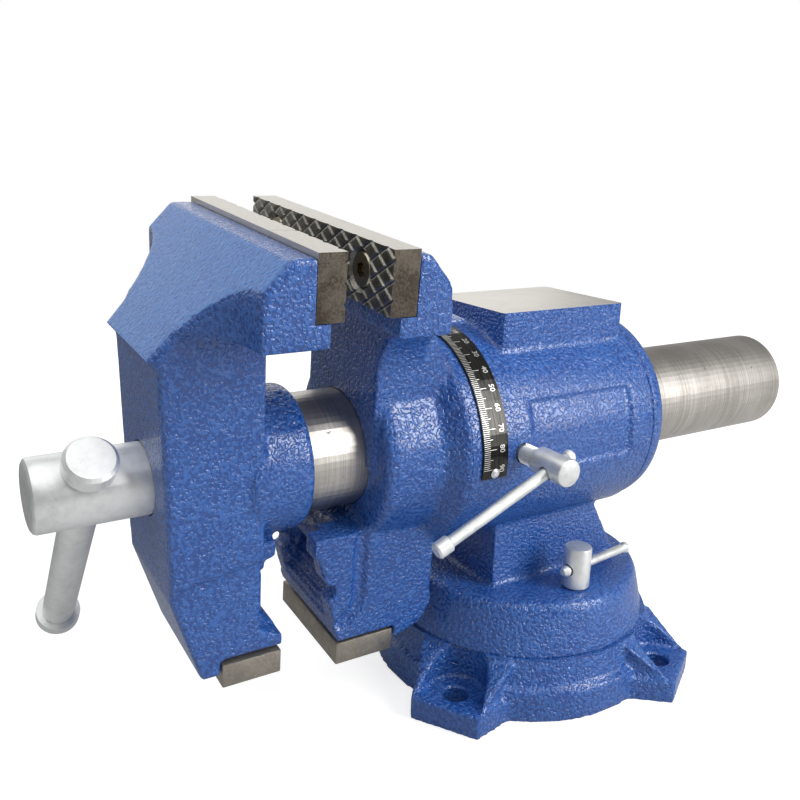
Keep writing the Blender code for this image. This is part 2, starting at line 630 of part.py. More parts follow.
make_base_plate()
make_pivot()
make_base_lock()
make_vise_body()
make_scale()
make_barrel_lock()
make_rear_jaw()
make_collar()
make_jaw_plate("rear", REAR_PLATE_FACE, 1, HEAD)
make_insert("rear", -119.0, -90.0, 29.0, -83.0, HEAD)
make_nut()
make_front_jaw()
make_slide_bar()
make_jaw_plate("front", FRONT_PLATE_FACE, -1, HEAD)
make_insert("front", -172.0, -145.5, 28.2, -78.0, HEAD)
make_lead_screw()
make_handle()
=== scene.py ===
"""Rotating multi-jaw bench vise: the looks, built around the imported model."""
import math
import bmesh
import bpy
from mathutils import Matrix, Vector


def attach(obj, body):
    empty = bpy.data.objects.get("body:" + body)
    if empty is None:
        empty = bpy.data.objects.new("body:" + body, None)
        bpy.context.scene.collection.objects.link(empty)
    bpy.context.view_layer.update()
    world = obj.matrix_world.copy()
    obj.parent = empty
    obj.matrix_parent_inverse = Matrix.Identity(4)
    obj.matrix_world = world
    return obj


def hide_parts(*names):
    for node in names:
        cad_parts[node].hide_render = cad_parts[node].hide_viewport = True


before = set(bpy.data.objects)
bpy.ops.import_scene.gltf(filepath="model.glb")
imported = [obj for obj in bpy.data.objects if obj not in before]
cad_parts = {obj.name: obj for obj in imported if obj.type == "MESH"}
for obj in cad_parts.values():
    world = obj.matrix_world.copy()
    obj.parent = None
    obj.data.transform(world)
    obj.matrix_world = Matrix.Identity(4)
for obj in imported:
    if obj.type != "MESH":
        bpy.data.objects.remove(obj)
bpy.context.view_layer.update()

# Studio -----------------------------------------------------------------------
# A pale floor and broad soft lights, as for a catalogue picture. The camera stands in
# front and to the left of the vise, a little above the jaws. The sky is pure white to the
# camera only, and its light on the vise is much weaker.

scene = bpy.context.scene
camera_data = bpy.data.cameras.new("camera")
camera_data.sensor_width = 36.0
camera_data.lens = 39.8
camera_data.clip_start = 0.02
camera = bpy.data.objects.new("camera", camera_data)
scene.collection.objects.link(camera)
CAMERA_TARGET = Vector((-0.0758, 0.0, 0.1457))
CAMERA_DISTANCE = 0.4063
turn, rise, roll = math.radians(-32.0), math.radians(15.8), math.radians(1.6)
toward_camera = Vector((math.sin(turn) * math.cos(rise), -math.cos(turn) * math.cos(rise),
                        math.sin(rise)))
aim = (-toward_camera).to_track_quat("-Z", "Y").to_matrix().to_4x4()
place = Matrix.Translation(CAMERA_TARGET + toward_camera * CAMERA_DISTANCE)
camera.matrix_world = place @ aim @ Matrix.Rotation(roll, 4, "Z")
scene.camera = camera

sky = bpy.data.worlds.new("studio")
sky.use_nodes = True
sky_nodes = sky.node_tree.nodes
sky_light = sky_nodes["Background"]
sky_light.inputs["Strength"].default_value = 0.30
sky_light.inputs["Color"].default_value = (1.0, 1.0, 1.0, 1.0)
sky_backdrop = sky_nodes.new("ShaderNodeBackground")
sky_backdrop.inputs["Color"].default_value = (1.0, 1.0, 1.0, 1.0)
sky_paths = sky_nodes.new("ShaderNodeLightPath")
sky_switch = sky_nodes.new("ShaderNodeMixShader")
sky_links = sky.node_tree.links
sky_links.new(sky_paths.outputs["Is Camera Ray"], sky_switch.inputs[0])
sky_links.new(sky_light.outputs[0], sky_switch.inputs[1])
sky_links.new(sky_backdrop.outputs[0], sky_switch.inputs[2])
sky_links.new(sky_switch.outputs[0], sky_nodes["World Output"].inputs[0])
scene.world = sky
scene.view_settings.view_transform = "Standard"


def soft_light(name, spot, target, width, height, power):
    """Area light at a spot, aimed at a target."""
    lamp = bpy.data.lights.new(name, "AREA")
    lamp.shape = "RECTANGLE"
    lamp.size = width
    lamp.size_y = height
    lamp.energy = power
    holder = bpy.data.objects.new(name, lamp)
    scene.collection.objects.link(holder)
    aim = (Vector(spot) - Vector(target)).to_track_quat("Z", "Y").to_matrix().to_4x4()
    holder.matrix_world = Matrix.Translation(spot) @ aim


MIDDLE = (-0.06, 0.0, 0.12)
soft_light("window", (0.50, -0.83, 0.62), (-0.06, 0.0, 0.14), width=0.46, height=0.95,
           power=11.0)
soft_light("ceiling", (-0.45, -0.15, 1.2), MIDDLE, width=1.6, height=1.4, power=8.6)
soft_light("back", (0.06, 1.06, 0.60), MIDDLE, width=1.8, height=0.8, power=4.2)

MM = 0.001
FLOOR_HALF = 1000.0


def shape_object(name, shape, body, lean=Matrix.Identity(4)):
    """Object from a bmesh drawn in millimetres, leaned into place and carried by a body."""
    mesh = bpy.data.meshes.new(name)
    bmesh.ops.remove_doubles(shape, verts=shape.verts, dist=0.0005)
    bmesh.ops.recalc_face_normals(shape, faces=shape.faces)
    bmesh.ops.scale(shape, vec=(MM, MM, MM), verts=shape.verts)
    bmesh.ops.transform(shape, matrix=lean, verts=shape.verts)
    shape.to_mesh(mesh)
    shape.free()
    piece = bpy.data.objects.new(name, mesh)
    scene.collection.objects.link(piece)
    if body is not None:
        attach(piece, body)
    return piece


floor_shape = bmesh.new()
bmesh.ops.create_grid(floor_shape, x_segments=1, y_segments=1, size=FLOOR_HALF)
floor = shape_object("floor", floor_shape, None)


class Wire:
    """A shader value. Arithmetic on it adds Math nodes; node() adds any other node."""

    def __init__(self, tree, socket):
        self.tree = tree
        self.socket = socket

    def node(self, kind, settings, inputs, output=0):
        """Add a node: its settings first, then values or links for its sockets."""
        made = self.tree.nodes.new(kind)
        for key, value in settings.items():
            setattr(made, key, value)
        for key, value in inputs.items():
            if isinstance(value, Wire):
                self.tree.links.new(value.socket, made.inputs[key])
            else:
                made.inputs[key].default_value = value
        return Wire(self.tree, made.outputs[output])

    def math(self, operation, *values):
        """Math node on this value and others."""
        inputs = dict(enumerate((self, *values)))
        return self.node("ShaderNodeMath", {"operation": operation}, inputs)

    def __add__(self, other):
        return self.math("ADD", other)

    def __sub__(self, other):
        return self.math("SUBTRACT", other)

    def __mul__(self, other):
        return self.math("MULTIPLY", other)

    def __rsub__(self, other):
        return (self * -1.0).math("ADD", other)

    __radd__ = __add__
    __rmul__ = __mul__

    def ease(self, low, high):
        """0 at low, 1 at high, smooth between."""
        return self.node("ShaderNodeMapRange", {"interpolation_type": "SMOOTHSTEP"},
                         {"Value": self, "From Min": low, "From Max": high})

    def mix(self, first, second):
        """Colour between first and second, with this value as the factor."""
        return self.node("ShaderNodeMix", {"data_type": "RGBA"},
                         {0: self, 6: first, 7: second}, output=2)

    def noise(self, scale, detail=2.0, rough=0.5):
        """Noise on this vector."""
        return self.node("ShaderNodeTexNoise", {}, {"Vector": self, "Scale": scale,
                                                    "Detail": detail, "Roughness": rough})

    def mapped(self, scale, turned=(0.0, 0.0, 0.0), moved=(0.0, 0.0, 0.0)):
        """This vector through a Mapping node."""
        return self.node("ShaderNodeMapping", {}, {"Vector": self, "Location": moved,
                                                   "Rotation": turned, "Scale": scale})

    def part(self, axis):
        """One component of this vector."""
        return self.node("ShaderNodeSeparateXYZ", {}, {0: self}, output="XYZ".index(axis))

    def bump(self, distance):
        """Bump node on this height."""
        return self.node("ShaderNodeBump", {}, {"Height": self, "Distance": distance})


class Finish:
    """A material: its Principled shader, its object coordinates and its edge sharpness."""

    def __init__(self, name, **fixed):
        self.material = bpy.data.materials.new(name)
        self.material.use_nodes = True
        tree = self.material.node_tree
        self.shader = tree.nodes["Principled BSDF"]
        for key, value in fixed.items():
            self.shader.inputs[key.replace("_", " ")].default_value = value
        start = Wire(tree, None)
        self.where = start.node("ShaderNodeTexCoord", {}, {}, output=3)
        self.edge = start.node("ShaderNodeNewGeometry", {}, {}, output=7)

    def plug(self, **wires):
        """Feed the shader's sockets."""
        for key, wire in wires.items():
            wire.tree.links.new(wire.socket, self.shader.inputs[key.replace("_", " ")])


def dress(piece, finish):
    """Give a new piece its finish."""
    piece.data.materials.clear()
    piece.data.materials.append(finish.material)
    return piece


def dress_nodes(finish, *names):
    """Give CAD nodes their finish."""
    for name in names:
        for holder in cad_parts[name].material_slots:
            holder.material = finish.material


# The floor is two papers: a glowing one that the camera sees, and a dull one, darker
# behind the vise, that lights it from below and shows in its glossy sides.
PAPER_ROUGH = 0.9
paper = Finish("paper_floor", Roughness=PAPER_ROUGH, Emission_Strength=0.72,
               Emission_Color=(1.0, 1.0, 1.0, 1.0))
paper_tone = paper.where.noise(3.0)
paper.plug(Base_Color=paper_tone.mix((0.50, 0.50, 0.50, 1.0), (0.54, 0.54, 0.54, 1.0)))
paper_nodes = paper.material.node_tree.nodes
paper_links = paper.material.node_tree.links
dull_paper = paper_nodes.new("ShaderNodeBsdfPrincipled")
dull_paper.inputs["Roughness"].default_value = PAPER_ROUGH
dull_tone = paper.where.part("Y").ease(0.02, 0.30).mix((0.60, 0.60, 0.60, 1.0),
                                                      (0.22, 0.22, 0.22, 1.0))
paper_links.new(dull_tone.socket, dull_paper.inputs["Base Color"])
paper_paths = paper_nodes.new("ShaderNodeLightPath")
paper_switch = paper_nodes.new("ShaderNodeMixShader")
paper_links.new(paper_paths.outputs["Is Camera Ray"], paper_switch.inputs[0])
paper_links.new(dull_paper.outputs[0], paper_switch.inputs[1])
paper_links.new(paper.shader.outputs[0], paper_switch.inputs[2])
paper_links.new(paper_switch.outputs[0], paper_nodes["Material Output"].inputs[0])
floor.data.materials.append(paper.material)

# Base plate ---------------------------------------------------------------------
# Round grey iron casting with four ramped bolt lugs. It is turned true on top, the bolt
# holes are drilled, and the whole is dipped in blue hammertone enamel.

BLUE_DEEP = (0.010, 0.035, 0.170, 1.0)
BLUE_MAIN = (0.015, 0.077, 0.325, 1.0)
BLUE_LIGHT = (0.030, 0.122, 0.420, 1.0)
BLUE_STREAK_AND_PAINTED_LIGHT = (0.060, 0.235, 0.640, 1.0)
BLUE_EDGE = (0.220, 0.380, 0.740, 1.0)


def prism(shape, outline, plane, low, high):
    """Solid from an outline in the XY, XZ or YZ plane, low to high along the third axis."""
    across, up, along = {"XY": (0, 1, 2), "XZ": (0, 2, 1), "YZ": (1, 2, 0)}[plane]
    corners = []
    for point in outline:
        spot = [low, low, low]
        spot[across], spot[up] = point
        corners.append(shape.verts.new(spot))
    face = shape.faces.new(corners)
    grown = bmesh.ops.extrude_face_region(shape, geom=[face])["geom"]
    rise = [0.0, 0.0, 0.0]
    rise[along] = high - low
    moved = [item for item in grown if isinstance(item, bmesh.types.BMVert)]
    bmesh.ops.translate(shape, vec=rise, verts=moved)
    return corners + moved


# Turns that bring a shape drawn along Z onto another axis.
AIM = {"X": Matrix(((0, 0, 1), (1, 0, 0), (0, 1, 0))),
       "Y": Matrix(((0, 1, 0), (0, 0, 1), (1, 0, 0))), "Z": Matrix.Identity(3)}


def lathe(shape, profile, axis="Z", centre=(0.0, 0.0, 0.0), steps=96):
    """Turned solid from (radius, height) points, round an axis through a centre."""
    points = [shape.verts.new((radius, 0.0, height)) for radius, height in profile]
    pairs = list(zip(points, points[1:]))
    if profile[0][0] > 0.0:
        pairs.append((points[-1], points[0]))
    edges = [shape.edges.new(pair) for pair in pairs]
    before = set(shape.verts) - set(points)
    bmesh.ops.spin(shape, geom=points + edges, axis=(0.0, 0.0, 1.0), cent=(0.0, 0.0, 0.0),
                   angle=math.tau, steps=steps, use_merge=True)
    bmesh.ops.remove_doubles(shape, verts=[v for v in shape.verts if v not in before],
                             dist=0.001)
    made = [v for v in shape.verts if v not in before]
    bmesh.ops.transform(shape, matrix=AIM[axis].to_4x4(), verts=made)
    bmesh.ops.translate(shape, vec=centre, verts=made)
    return made


def rod(shape, start, end, radius, sides=64):
    """Round bar between two points."""
    start, end = Vector(start), Vector(end)
    aim = (end - start).to_track_quat("Z", "Y").to_matrix().to_4x4()
    made = bmesh.ops.create_cone(shape, cap_ends=True, segments=sides, radius1=radius,
                                 radius2=radius, depth=(end - start).length,
                                 matrix=Matrix.Translation((start + end) / 2) @ aim)
    return made["verts"]


def box(shape, low, high):
    """Box between two corners."""
    low, high = Vector(low), Vector(high)
    scale = Matrix.Diagonal((*(high - low), 1.0))
    made = bmesh.ops.create_cube(shape, matrix=Matrix.Translation((low + high) / 2) @ scale)
    return made["verts"]


def cove(centre, radius, begin, end, steps=8):
    """Points along a cast fillet or a round end."""
    spread = [math.radians(begin + (end - begin) * i / steps) for i in range(steps + 1)]
    return [(centre[0] + radius * math.cos(a), centre[1] + radius * math.sin(a)) for a in spread]


def evaluated(piece):
    """Apply a piece's modifiers."""
    bpy.context.view_layer.update()
    graph = bpy.context.evaluated_depsgraph_get()
    mesh = bpy.data.meshes.new_from_object(piece.evaluated_get(graph))
    piece.modifiers.clear()
    piece.data = mesh
    return piece


def cut_away(piece, cutters, lean=Matrix.Identity(4)):
    """Cut shapes out of a piece, each with a Boolean."""
    for cutter in cutters:
        tool = shape_object("cutter", cutter, None, lean)
        cut = piece.modifiers.new("cut", "BOOLEAN")
        cut.operation = "DIFFERENCE"
        cut.solver = "MANIFOLD"
        cut.object = tool
        evaluated(piece)
        bpy.data.objects.remove(tool)
    return piece


def skin(piece, grain, rounds):
    """Fuse a piece into one skin and round all its edges and corners."""
    fuse = piece.modifiers.new("fuse", "REMESH")
    fuse.mode = "VOXEL"
    fuse.voxel_size = grain * MM
    if rounds:
        soften = piece.modifiers.new("soften", "SMOOTH")
        soften.factor = 0.5
        soften.iterations = rounds
    return evaluated(piece)


CAST_GRAIN = 1.0
CAST_ROUNDS = 6


def cast(name, solids, recesses, body, lean=Matrix.Identity(4)):
    """Sand casting: solids run together, less its recesses, with rounded edges."""
    piece = shape_object(name, solids, body)
    skin(piece, CAST_GRAIN, 0)
    cut_away(piece, recesses)
    skin(piece, CAST_GRAIN, CAST_ROUNDS)
    piece.data.transform(lean)
    return piece


def machined(piece, cutters, lean=Matrix.Identity(4), angle=32.0):
    """Sharp cuts into a finished casting."""
    cut_away(piece, cutters, lean)
    piece.data.shade_smooth()
    piece.data.set_sharp_from_angle(angle=math.radians(angle))
    return piece


DIMPLE_DEPTH = 0.00033
STROKE_DEPTH = 0.00030
ENAMEL_ROUGH = 0.08
SLOPE_ROUGH = 0.24


def hammertone(name, brushed=False):
    """Blue hammertone enamel: dimpled, glossy, darker in hollows as painted shade, and paler on
    sharp edges, partly thin worn enamel and partly a painted highlight.

    The brushed kind lies on a ground face, whose grinding lines show through it; it is also paler
    blue all over, painted light on that upward face."""
    finish = Finish(name, Specular_IOR_Level=0.45 if brushed else 0.8)
    cloud = finish.where.noise(30.0, 3.0, 0.6)
    peel = finish.where.noise(640.0, 1.0, 0.5)
    ripple = finish.where.noise(1500.0, 1.0, 0.5)
    height = peel.ease(0.40, 0.60) + ripple * 0.30 + cloud * 0.8
    # Sharp convex edges turn paler blue in broken patches: partly thin, worn enamel and partly a
    # painted edge highlight.
    pale_edge = finish.edge.ease(0.56, 0.64) * finish.where.noise(210.0, 3.0, 0.7).ease(0.42, 0.58)
    # Concave creases and hollows are darkened towards deep blue: painted shade.
    hollow = 1.0 - finish.edge.ease(0.36, 0.47)
    tone = (cloud * 0.35 + peel * 0.65).ease(0.34, 0.66)
    colour = tone.mix(BLUE_MAIN, BLUE_LIGHT)
    colour = ((1.0 - peel.ease(0.34, 0.46)) * 0.45).mix(colour, BLUE_DEEP)
    colour = (hollow * 0.5).mix(colour, BLUE_DEEP)
    colour = (pale_edge * 0.6).mix(colour, BLUE_EDGE)
    depth, rough = DIMPLE_DEPTH, ENAMEL_ROUGH
    if brushed:
        strokes = finish.where.mapped((160.0, 900.0, 900.0), (0.3, 0.55, 0.7)).noise(1.0, 2.0)
        height = height * 0.25 + strokes * 1.2
        # Paler blue: its streaks follow the grinding lines, and its even share is painted light
        # on the upward slope face.
        colour = (strokes.ease(0.35, 0.65) * 0.5 + 0.3).mix(colour, BLUE_STREAK_AND_PAINTED_LIGHT)
        depth, rough = STROKE_DEPTH, SLOPE_ROUGH
    finish.plug(Base_Color=colour, Roughness=peel * 0.10 + rough, Normal=height.bump(depth))
    return finish


ENAMEL = hammertone("blue_hammertone")
ENAMEL_SLOPE_BRUSHED_PAINTED_LIGHT = hammertone("blue_hammertone_slope_brushed_painted_light", brushed=True)

BASE_TOP = 29.5
LUG_TOP = 11.6
BOLT_CIRCLE = 77.4
LUG_TURN = 31.5
SLOT_MIDDLE = 46.6

plate = bmesh.new()
lathe(plate, [(6.4, BASE_TOP + 2), (68.4, BASE_TOP + 2), (67.6, BASE_TOP), (70.3, 17.4),
              (71.2, 16.6), (73.6, 15.6), (73.8, 12.0), (73.8, 0.0), (6.4, 0.0)])
lug_cuts = bmesh.new()
for i in range(4):
    spin_lug = Matrix.Rotation(math.radians(LUG_TURN + 90.0 * i), 3, "Z")
    lug = prism(plate, [(55, -27.5), (66.0, -27.0), (71.5, -23.5), (90, -17.1), (90, 17.1),
                        (71.5, 23.5), (66.0, 27.0), (55, 27.5)], "XY", 0.0, LUG_TOP)
    ramp = prism(plate, [(52, 0), (89.6, 0), (89.6, LUG_TOP - 0.6), (87.5, LUG_TOP), (67.0, 27.5),
                         (52, 27.5)], "XZ", -17.0, 17.0)
    for vert in ramp:
        if vert.co.x < 80.0:
            vert.co.y *= 1.42
    bmesh.ops.rotate(plate, cent=(0, 0, 0), matrix=spin_lug, verts=lug + ramp)
    hollow = prism(lug_cuts, cove((BOLT_CIRCLE, 0.0), 14.4, 90, 270, 24)
                   + [(96, -19.0), (96, 19.0)], "XY", LUG_TOP, 45)
    bmesh.ops.rotate(lug_cuts, cent=(0, 0, 0), matrix=spin_lug, verts=hollow)
base_piece = cast("base_casting", plate, [lug_cuts], "base")
drill = bmesh.new()
for i in range(4):
    angle = math.radians(LUG_TURN + 90.0 * i)
    x, y = BOLT_CIRCLE * math.cos(angle), BOLT_CIRCLE * math.sin(angle)
    lathe(drill, [(0, 30), (6.9, 30), (6.9, LUG_TOP + 0.2), (6.0, LUG_TOP - 0.9), (6.0, -5),
                  (0, -5)], "Z", (x, y, 0), 48)
lathe(drill, [(0, -5), (14, -5), (14, 11), (6.4, 11), (6.4, 35), (0, 35)], "Z")
facing = bmesh.new()
box(facing, (-90, -90, BASE_TOP), (90, 90, 60))
slot_ring = bmesh.new()
lathe(slot_ring, [(SLOT_MIDDLE - 5, 35), (SLOT_MIDDLE - 5, 22), (SLOT_MIDDLE - 9, 22),
                  (SLOT_MIDDLE - 9, 12), (SLOT_MIDDLE + 9, 12), (SLOT_MIDDLE + 9, 22),
                  (SLOT_MIDDLE + 5, 22), (SLOT_MIDDLE + 5, 35)], "Z")
under = bmesh.new()
box(under, (-120, -120, -20), (120, 120, 0.02))
machined(base_piece, [drill, facing, slot_ring, under])
dress(base_piece, ENAMEL)
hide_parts("base_plate")

# Bolts and screws -----------------------------------------------------------------
# Plain turned and cold-headed steel: pivot bolt and washer under the base, T-nut, pins and
# grub screws. The surface is drawn wire, slightly oiled.


def steel(name, light, dark, streak=(1.0, 1.0, 1.0), fine=900.0, rough=0.34, stain=0.3,
          metal=1.0):
    """Bare steel: fine tool lines along one axis, a cloudy tone and a few dark stains."""
    finish = Finish(name, Metallic=metal)
    lines = finish.where.mapped([fine * k for k in streak]).noise(1.0, 3.0, 0.6)
    cloud = finish.where.noise(70.0, 3.0, 0.6)
    spots = finish.where.noise(150.0, 4.0, 0.75).ease(0.58, 0.70)
    colour = (lines * 0.5 + cloud * 0.5).ease(0.35, 0.65).mix(dark, light)
    colour = (spots * stain).mix(colour, tuple(0.35 * k for k in dark[:3]) + (1.0,))
    pale_edge = finish.edge.ease(0.52, 0.58)
    colour = (pale_edge * 0.4).mix(colour, tuple(min(1.0, 1.25 * k) for k in light[:3]) + (1.0,))
    finish.plug(Base_Color=colour, Roughness=lines * 0.16 + cloud * 0.12 + (rough - 0.12),
                Normal=(lines + spots * -0.5).bump(0.00006))
    return finish


PLAIN = steel("plain_steel", (0.50, 0.49, 0.47, 1.0), (0.34, 0.33, 0.32, 1.0))
dress_nodes(PLAIN, "pivot_bolt", "pivot_washer", "base_lock_nut", "collar_screw", "nut_key",
            "bar_pin", "retainer_pin", "screw_retainer", "rear_insert_screw",
            "front_insert_screw")
BRONZE = steel("bronze", (0.66, 0.50, 0.24, 1.0), (0.46, 0.33, 0.15, 1.0), rough=0.3)
dress_nodes(BRONZE, "screw_nut", "barrel_lock_shoe")

# Swivel body ---------------------------------------------------------------------
# One iron casting: swivel disc, pedestal, closed barrel and anvil. The barrel is bored,
# the anvil face is ground bare, and a shallow panel is cast in each side of the barrel.

AXIS = 128.6
BARREL_RADIUS = 50.0
BARREL_FRONT = -69.8
BARREL_REAR = 38.0
ANVIL_TOP = 188.1
LOCK_SPOT = (-1.4, -46.6)
CLAMP_SPOT = (-42.3, 130.2)

body_solid = bmesh.new()
lathe(body_solid, [(0, 54.3), (57.6, 54.3), (60.0, 53.2), (61.6, 50.0), (66.3, 29.6), (66.0, 26),
                   (0, 26)])
prism(body_solid, [(-38, 50), (-38, 104), (24, 104), (24, 88), (43, 55), (43, 50)], "XZ",
      -28.2, 28.2)
rod(body_solid, (BARREL_FRONT - 2, 0, AXIS), (BARREL_REAR + 2, 0, AXIS), BARREL_RADIUS + 0.2, 128)
box(body_solid, (-40.6, -28.3, 150.0), (31.8, 28.3, ANVIL_TOP + 3))

PANEL_FLOOR = BARREL_RADIUS - 1.3
PANEL_CLEAR = 56.0
panel = bmesh.new()
for side in (-1, 1):
    arc = [math.radians(62.0 + 38.0 * step / 12) for step in range(13)]
    ring = [(side * PANEL_CLEAR * math.sin(a), AXIS + PANEL_CLEAR * math.cos(a)) for a in arc]
    ring += [(side * PANEL_FLOOR * math.sin(a), AXIS + PANEL_FLOOR * math.cos(a))
             for a in reversed(arc)]
    prism(panel, ring, "YZ", -37.0, 24.0)
body_piece = cast("body_casting", body_solid, [panel], "body")

bores = bmesh.new()
rod(bores, (-100, 0, AXIS), (80, 0, AXIS), 40.0, 128)
clamp_hole = bmesh.new()
lathe(clamp_hole, [(0, -30), (5.3, -30), (5.3, -45), (4.6, -45), (4.6, -60), (0, -60)], "Y",
      (CLAMP_SPOT[0], 0, CLAMP_SPOT[1]), 40)
ends = bmesh.new()
box(ends, (-90, -80, 60), (BARREL_FRONT, 80, 200))
box(ends, (BARREL_REAR, -80, 60), (60, 80, 182))
seam = bmesh.new()
lathe(seam, [(48.8, BARREL_REAR + 1), (48.8, BARREL_REAR - 0.1), (50.8, BARREL_REAR - 1.5),
             (54.0, BARREL_REAR - 1.5), (54.0, BARREL_REAR + 1)], "X", (0, 0, AXIS), 112)
anvil_top = bmesh.new()
box(anvil_top, (-90, -80, ANVIL_TOP), (90, 80, 210))
foot = bmesh.new()
box(foot, (-90, -90, 0), (90, 90, 29.8))
lock_hole = bmesh.new()
rod(lock_hole, (*LOCK_SPOT, 20), (*LOCK_SPOT, 60), 4.8, 40)
pivot_hole = bmesh.new()
rod(pivot_hole, (0, 0, 20), (0, 0, 47), 6.3, 48)
machined(body_piece, [bores, ends, seam, clamp_hole, anvil_top, foot, lock_hole, pivot_hole])
dress(body_piece, ENAMEL)
GROUND = steel("ground_face", (0.66, 0.63, 0.58, 1.0), (0.50, 0.48, 0.44, 1.0),
               streak=(0.02, 1.0, 1.0), fine=1300.0, rough=0.36, stain=0.12)
body_piece.data.materials.append(GROUND.material)
for face in body_piece.data.polygons:
    if face.normal.z > 0.99 and face.center.z > (ANVIL_TOP - 0.2) * MM:
        face.material_index = 1
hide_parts("vise_body")

# Swivel lock -----------------------------------------------------------------------
# Zinc-plated clamp screw that draws the T-nut up in the base's ring slot, with a small
# sliding bar through its head. The bar's ends are upset so that it can't fall out.

LOCK_HEAD_TOP = 75.5
LOCK_BAR_HEIGHT = 64.3
LOCK_BAR_TURN = 7.6
ZINC_LIGHT = (0.80, 0.82, 0.81, 1.0)
ZINC_DARK = (0.64, 0.66, 0.65, 1.0)
ZINC = steel("zinc_plate", ZINC_LIGHT, ZINC_DARK, fine=260.0, rough=0.38, stain=0.22, metal=0.72)
dress_nodes(ZINC, "base_lock_bar", "scale_rivet_near", "scale_rivet_far",
            "barrel_lock_bar", "handle_rod", "handle_knob_near", "handle_knob_far")
lock = bmesh.new()
lathe(lock, [(0, LOCK_HEAD_TOP), (5.6, LOCK_HEAD_TOP), (6.3, LOCK_HEAD_TOP - 0.3),
             (6.6, LOCK_HEAD_TOP - 1.0), (6.6, 55.4), (6.0, 54.7), (4.5, 54.6), (4.5, 13.5),
             (0, 13.5)], "Z", (*LOCK_SPOT, 0), 56)
lock_piece = shape_object("base_lock_bolt", lock, "base_lock")
lock_cross = bmesh.new()
rod(lock_cross, (-9, 0, 0), (9, 0, 0), 3.0, 40)
turn_bar = Matrix.Rotation(math.radians(LOCK_BAR_TURN), 4, "Z")
bmesh.ops.transform(lock_cross, matrix=Matrix.Translation((*LOCK_SPOT, LOCK_BAR_HEIGHT))
                    @ turn_bar, verts=lock_cross.verts)
machined(lock_piece, [lock_cross])
dress(lock_piece, ZINC)
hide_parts("base_lock_screw")

# Angle scale -----------------------------------------------------------------------
# Thin black anodised strip bent round the barrel and riveted at each end. Its lines are
# engraved each degree, longer each five and ten, with the tens in figures.

SCALE_FACE = 51.15
SCALE_FRONT = -64.6
SCALE_ZERO = 3.3
TICK_LIFT = 0.04
TICK_HALF = 0.13
FIGURE_SIZE = 3.6
FIGURE_SPOT = SCALE_FRONT + 9.4

strip = Finish("scale_black", Metallic=0.85)
brushed = strip.where.mapped((1500.0, 60.0, 60.0)).noise(1.0, 3.0, 0.6)
strip.plug(Base_Color=brushed.ease(0.3, 0.7).mix((0.018, 0.018, 0.018, 1.0),
                                                 (0.060, 0.058, 0.052, 1.0)),
           Roughness=brushed * 0.14 + 0.16, Normal=brushed.bump(0.00003))
dress_nodes(strip, "scale_plate")


def bend_round(shape, verts):
    """Bend flat work round the barrel: x stays, y is the angle in degrees, z the lift."""
    for vert in verts:
        angle = math.radians(vert.co.y)
        radius = SCALE_FACE + vert.co.z
        vert.co = Vector((vert.co.x, -radius * math.sin(angle), AXIS + radius * math.cos(angle)))


marks = bmesh.new()
for value in range(-90, 91):
    reach = 6.4 if value % 10 == 0 else 4.6 if value % 5 == 0 else 3.1
    middle = value + SCALE_ZERO
    tick = box(marks, (SCALE_FRONT, middle - TICK_HALF, -0.05),
               (SCALE_FRONT + reach, middle + TICK_HALF, TICK_LIFT))
    bend_round(marks, tick)
for value in range(-90, 91, 10):
    words = bpy.data.curves.new("figures", "FONT")
    words.body = str(abs(value))
    words.align_x = "CENTER"
    words.align_y = "CENTER"
    words.size = FIGURE_SIZE
    words.extrude = TICK_LIFT
    letters = bpy.data.objects.new("figures", words)
    scene.collection.objects.link(letters)
    flat = bpy.data.meshes.new_from_object(letters)
    bpy.data.objects.remove(letters)
    before = set(marks.verts)
    marks.from_mesh(flat)
    fresh = [vert for vert in marks.verts if vert not in before]
    for vert in fresh:
        along, up, lift = vert.co
        degrees = value + SCALE_ZERO + math.degrees(along / SCALE_FACE)
        vert.co = Vector((FIGURE_SPOT + up, degrees, lift))
    bend_round(marks, fresh)
marks_piece = shape_object("scale_marks", marks, "body")
PAINT = steel("engraved_silver", (0.82, 0.81, 0.77, 1.0), (0.66, 0.65, 0.61, 1.0), rough=0.4)
dress(marks_piece, PAINT)

# Barrel lock -------------------------------------------------------------------------
# Clamp screw with a cross-drilled head, threaded into the barrel's side, and its sliding
# lever bar. It presses a bronze shoe on the head's sleeve to stop the head turning.

CLAMP_BAR_Y = -70.0
CLAMP_BAR_LEAN = -23.7


def thread(shape, profile, start, turns, pitch, steps=28):
    """Helical ridge along X from a (radius, height) profile."""
    points = [shape.verts.new((start + height, 0.0, radius)) for radius, height in profile]
    edges = [shape.edges.new(pair) for pair in zip(points, points[1:] + points[:1])]
    count = int(turns * steps)
    ends = bmesh.ops.contextual_create(shape, geom=edges)["faces"]
    bmesh.ops.spin(shape, geom=points + edges + ends, axis=(1.0, 0.0, 0.0),
                   cent=(0.0, 0.0, 0.0), angle=math.tau * turns, steps=count,
                   dvec=(pitch / steps, 0.0, 0.0))


